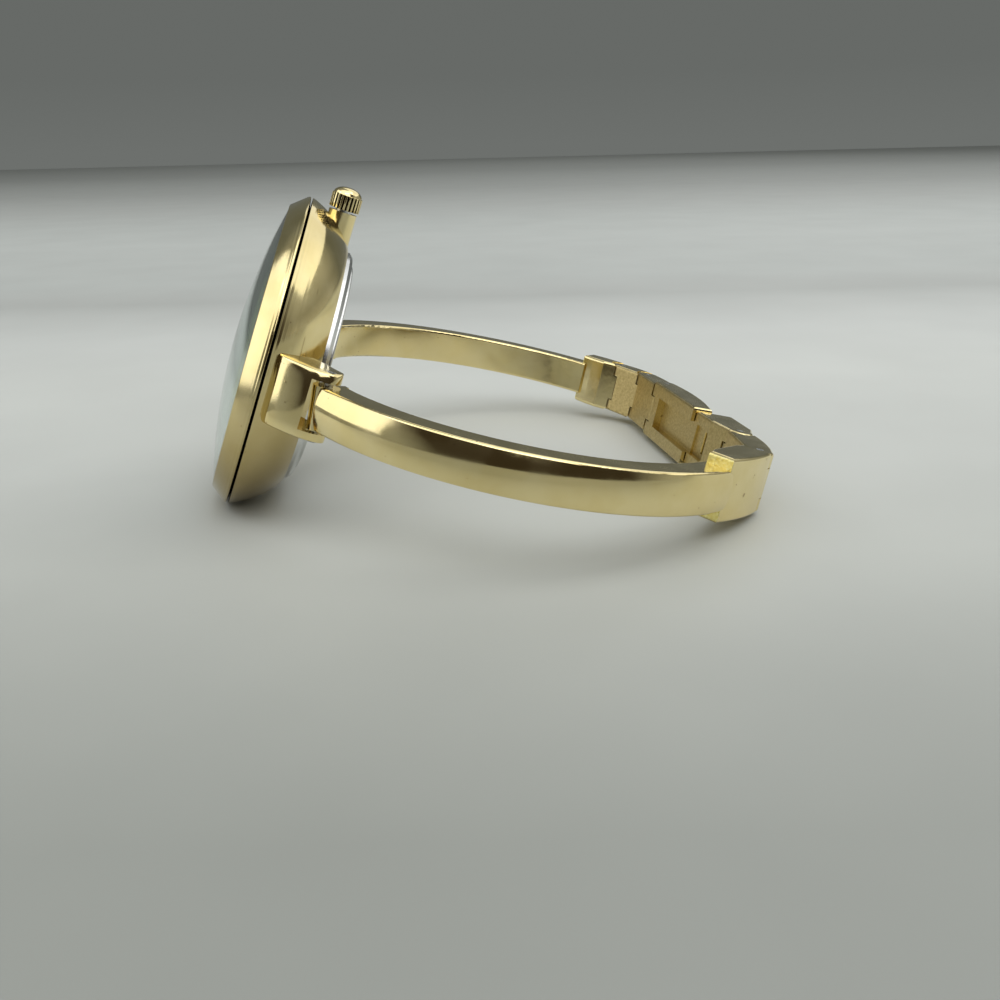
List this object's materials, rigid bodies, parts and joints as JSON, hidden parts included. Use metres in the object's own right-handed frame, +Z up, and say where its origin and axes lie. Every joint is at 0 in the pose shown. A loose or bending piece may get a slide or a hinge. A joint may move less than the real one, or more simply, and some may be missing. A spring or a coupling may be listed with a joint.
{
  "type": "bangle watch",
  "caption": "Round watch on a rigid oval bangle, hinged at both lugs and opened at a box clasp in the short linked section opposite the dial.",
  "frame": {"origin": "on the table, below the middle of the whole watch as it lies on its side", "axes": "+Z up from the table, +Y across the wrist towards twelve o'clock, +X from the dial to the clasp"},
  "size_m": [0.0602, 0.0652, 0.0333],
  "materials": {
    "case_body": "polished gold plating",
    "bezel": "polished gold plating",
    "crystal": "clear polished",
    "crystal_gasket": "translucent",
    "dial_ring": "polished gold plating",
    "dial": "satin lacquer",
    "hour_markers": "polished",
    "main_plate": "plain",
    "train_bridge": "satin",
    "battery": "polished",
    "battery_strap": "satin",
    "coil": "enamelled copper wire",
    "stator": "satin",
    "circuit_board": "solder mask",
    "movement_ring": "moulded",
    "crown_tube": "plain",
    "case_back": "satin",
    "case_back_gasket": "matt",
    "near_lug": "polished gold plating",
    "near_lug_pin": "plain",
    "far_lug": "polished gold plating",
    "far_lug_pin": "plain",
    "crown_gasket": "matt",
    "crown": "polished gold plating",
    "crown_stem": "plain",
    "second_hand": "polished",
    "fourth_wheel": "plain",
    "fifth_wheel": "plain",
    "rotor": "dark sintered",
    "minute_hand": "polished",
    "cannon_pinion": "plain",
    "hour_hand": "polished",
    "hour_wheel": "plain",
    "near_arm": "polished gold plating",
    "near_block": "polished gold plating",
    "near_link": "polished gold plating",
    "near_block_pin": "plain",
    "clasp_box": "polished gold plating",
    "box_pin": "plain",
    "far_arm": "polished gold plating",
    "far_block": "polished gold plating",
    "far_link_1": "polished gold plating",
    "far_block_pin": "plain",
    "far_link_2": "polished gold plating",
    "far_link_pin": "plain",
    "clasp_base": "polished gold plating",
    "base_pin": "plain",
    "clasp_tongue": "rolled spring leaf, gold plated"
  },
  "bodies": {
    "case": {"case_body": "case_body", "bezel": "bezel", "crystal": "crystal", "crystal_gasket": "crystal_gasket", "dial_ring": "dial_ring", "dial": "dial", "hour_markers": "hour_markers", "main_plate": "main_plate", "train_bridge": "train_bridge", "battery": "battery", "battery_strap": "battery_strap", "coil": "coil", "stator": "stator", "circuit_board": "circuit_board", "movement_ring": "movement_ring", "crown_tube": "crown_tube", "case_back": "case_back", "case_back_gasket": "case_back_gasket", "near_lug": "near_lug", "near_lug_pin": "near_lug_pin", "far_lug": "far_lug", "far_lug_pin": "far_lug_pin"},
    "crown_slide": {"crown_gasket": "crown_gasket"},
    "crown_knob": {"crown": "crown", "crown_stem": "crown_stem"},
    "seconds": {"second_hand": "second_hand", "fourth_wheel": "fourth_wheel"},
    "fifth": {"fifth_wheel": "fifth_wheel"},
    "rotor": {"rotor": "rotor"},
    "minutes": {"minute_hand": "minute_hand", "cannon_pinion": "cannon_pinion"},
    "hours": {"hour_hand": "hour_hand", "hour_wheel": "hour_wheel"},
    "near_half": {"near_arm": "near_arm", "near_block": "near_block"},
    "near_chain": {"near_link": "near_link", "near_block_pin": "near_block_pin"},
    "box": {"clasp_box": "clasp_box", "box_pin": "box_pin"},
    "far_half": {"far_arm": "far_arm", "far_block": "far_block"},
    "far_chain_1": {"far_link_1": "far_link_1", "far_block_pin": "far_block_pin"},
    "far_chain_2": {"far_link_2": "far_link_2", "far_link_pin": "far_link_pin"},
    "base": {"clasp_base": "clasp_base", "base_pin": "base_pin", "clasp_tongue": "clasp_tongue"}
  },
  "joints": [
    {"name": "far_arm_hinge", "type": "hinge", "parent": "case", "child": "far_half", "pos_m": [-0.01717, 0.0184, 0.01412], "axis": [0.3518, 0, 0.9361], "range_deg": [0, 18]},
    {"name": "near_arm_hinge", "type": "hinge", "parent": "case", "child": "near_half", "pos_m": [-0.01717, -0.0184, 0.01412], "axis": [-0.3518, 0, -0.9361], "range_deg": [0, 18]},
    {"name": "near_link_hinge", "type": "hinge", "parent": "near_half", "child": "near_chain", "pos_m": [0.02612, -0.0193, 0.00387], "axis": [-0.2291, 0, -0.9734], "range_deg": [0, 7.2]},
    {"name": "box_hinge", "type": "hinge", "parent": "near_chain", "child": "box", "pos_m": [0.02729, -0.0114, 0.0036], "axis": [0.2291, 0, 0.9734], "range_deg": [0, 25.2]},
    {"name": "far_link_1_hinge", "type": "hinge", "parent": "far_half", "child": "far_chain_1", "pos_m": [0.02358, 0.02148, 0.00447], "axis": [0.2291, 0, 0.9734], "range_deg": [0, 1.8]},
    {"name": "far_link_2_hinge", "type": "hinge", "parent": "far_chain_1", "child": "far_chain_2", "pos_m": [0.02601, 0.01738, 0.0039], "axis": [0.2291, 0, 0.9734], "range_deg": [0, 3.6]},
    {"name": "base_hinge", "type": "hinge", "parent": "far_chain_2", "child": "base", "pos_m": [0.02612, 0.0102, 0.00387], "axis": [-0.2291, 0, -0.9734], "range_deg": [0, 23.4]},
    {"name": "crown_pull", "type": "slide", "parent": "case", "child": "crown_slide", "axis": [0.3518, 0, 0.9361], "range_m": [0, 0.0008]},
    {"name": "crown_turn", "type": "hinge", "parent": "crown_slide", "child": "crown_knob", "pos_m": [-0.01336, 0, 0.03095], "axis": [0.3518, 0, 0.9361], "continuous": true},
    {"name": "seconds_turn", "type": "hinge", "parent": "case", "child": "seconds", "pos_m": [-0.02061, 0, 0.01541], "axis": [0.9361, 0, -0.3518], "continuous": true},
    {"name": "fifth_turn", "type": "hinge", "parent": "case", "child": "fifth", "pos_m": [-0.02167, 0, 0.0126], "axis": [0.9361, 0, -0.3518], "continuous": true},
    {"name": "rotor_turn", "type": "hinge", "parent": "case", "child": "rotor", "pos_m": [-0.02244, 0, 0.01054], "axis": [0.9361, 0, -0.3518], "continuous": true},
    {"name": "minutes_turn", "type": "hinge", "parent": "case", "child": "minutes", "pos_m": [-0.02061, 0, 0.01541], "axis": [0.9361, 0, -0.3518], "continuous": true},
    {"name": "hours_turn", "type": "hinge", "parent": "case", "child": "hours", "pos_m": [-0.02061, 0, 0.01541], "axis": [0.9361, 0, -0.3518], "continuous": true}
  ],
  "couplings": [
    {"joint": "near_arm_hinge", "follows": "far_arm_hinge", "ratio": 1},
    {"joint": "near_link_hinge", "follows": "far_arm_hinge", "ratio": 0.4},
    {"joint": "box_hinge", "follows": "far_arm_hinge", "ratio": 1.4},
    {"joint": "far_link_1_hinge", "follows": "far_arm_hinge", "ratio": 0.1},
    {"joint": "far_link_2_hinge", "follows": "far_arm_hinge", "ratio": 0.2},
    {"joint": "base_hinge", "follows": "far_arm_hinge", "ratio": 1.3},
    {"joint": "fifth_turn", "follows": "seconds_turn", "ratio": -6},
    {"joint": "rotor_turn", "follows": "seconds_turn", "ratio": 30},
    {"joint": "hours_turn", "follows": "minutes_turn", "ratio": 0.083333}
  ]
}
